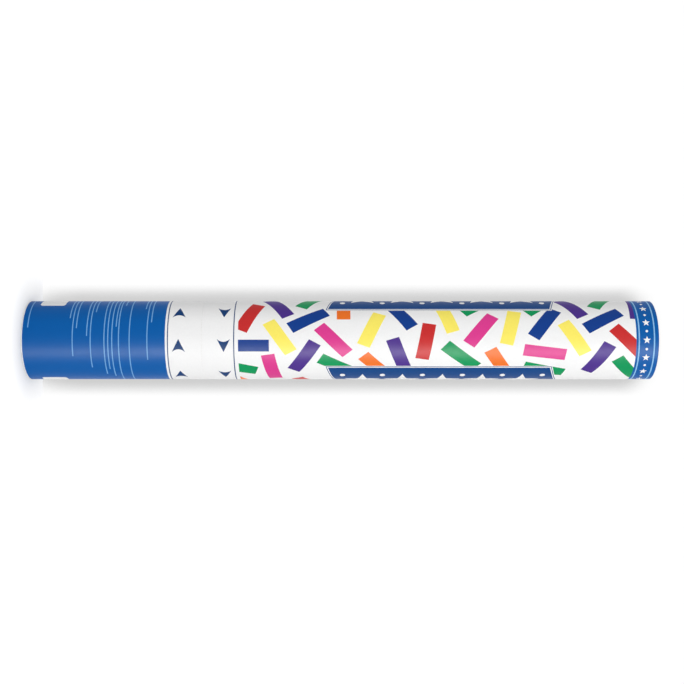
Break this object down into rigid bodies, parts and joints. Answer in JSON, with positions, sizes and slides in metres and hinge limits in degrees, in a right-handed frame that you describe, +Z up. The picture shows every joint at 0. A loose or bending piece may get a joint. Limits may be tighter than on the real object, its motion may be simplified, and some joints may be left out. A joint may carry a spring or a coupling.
{
  "type": "confetti popper",
  "caption": "Hand-held twist confetti popper: printed paper tube with a turning grip, an air bottle and cam release inside, stacked paper slips and a muzzle lid.",
  "frame": {"origin": "centre of the base, on the surface that the popper stands on", "axes": "+Z up the tube towards the muzzle; -Y is the side that the picture faces"},
  "size_m": [0.0506, 0.0506, 0.4],
  "materials": {
    "grip_print": "satin",
    "barrel_print": "satin",
    "tube_board": "matte",
    "plug_plastic": "satin",
    "mechanism_plastic": "satin",
    "pusher_plastic": "satin",
    "lid_plastic": "satin",
    "valve_plastic": "satin",
    "bottle_aluminium": "satin",
    "steel": "satin",
    "seal_rubber": "matte",
    "wad_felt": "matte",
    "slips_red": "matte",
    "slips_orange": "matte",
    "slips_yellow": "matte",
    "slips_green": "matte",
    "slips_blue": "matte",
    "slips_purple": "matte",
    "slips_pink": "matte"
  },
  "bodies": {
    "grip": {"grip_tube": "tube_board", "grip_wrap": "grip_print", "base_plug": "plug_plastic", "drive_sleeve": "mechanism_plastic"},
    "barrel": {"barrel_tube": "tube_board", "barrel_wrap": "barrel_print", "breech": "mechanism_plastic", "striker_pin": "steel", "retaining_ring": "steel"},
    "bottle": {"air_bottle": "bottle_aluminium", "drive_collar": "mechanism_plastic", "collar_seal": "seal_rubber", "cam_pins": "steel", "valve_body": "valve_plastic", "neck_gasket": "seal_rubber", "crimp_ferrule": "bottle_aluminium", "spring_cup": "valve_plastic", "valve_spring": "steel"},
    "poppet": {"poppet": "valve_plastic", "poppet_seal": "seal_rubber"},
    "load": {"pusher": "pusher_plastic", "wad": "wad_felt", "confetti_red": "slips_red", "confetti_orange": "slips_orange", "confetti_yellow": "slips_yellow", "confetti_green": "slips_green", "confetti_blue": "slips_blue", "confetti_purple": "slips_purple", "confetti_pink": "slips_pink"},
    "lid": {"muzzle_lid": "lid_plastic"}
  },
  "joints": [
    {"name": "barrel_twist", "type": "hinge", "parent": "grip", "child": "barrel", "pos_m": [0, 0, 0.113], "axis": [0, 0, 1], "range_deg": [0, 90]},
    {"name": "bottle_rise", "type": "slide", "parent": "grip", "child": "bottle", "axis": [0, 0, 1], "range_m": [0, 0.0031]},
    {"name": "poppet_hold", "type": "slide", "parent": "bottle", "child": "poppet", "axis": [0, 0, -1], "range_m": [0, 0.0031], "deforming": ["valve_spring"]},
    {"name": "charge_launch", "type": "slide", "parent": "barrel", "child": "load", "axis": [0, 0, 1], "range_m": [0, 0.27]},
    {"name": "lid_pop", "type": "slide", "parent": "barrel", "child": "lid", "axis": [0, 0, 1], "range_m": [0, 0.3]}
  ],
  "couplings": [
    {"joint": "bottle_rise", "follows": "barrel_twist", "m_per_rad": 0.0019099},
    {"joint": "poppet_hold", "follows": "barrel_twist", "m_per_rad": 0.0019099},
    {"joint": "lid_pop", "follows": "charge_launch", "ratio": 1.1111}
  ]
}
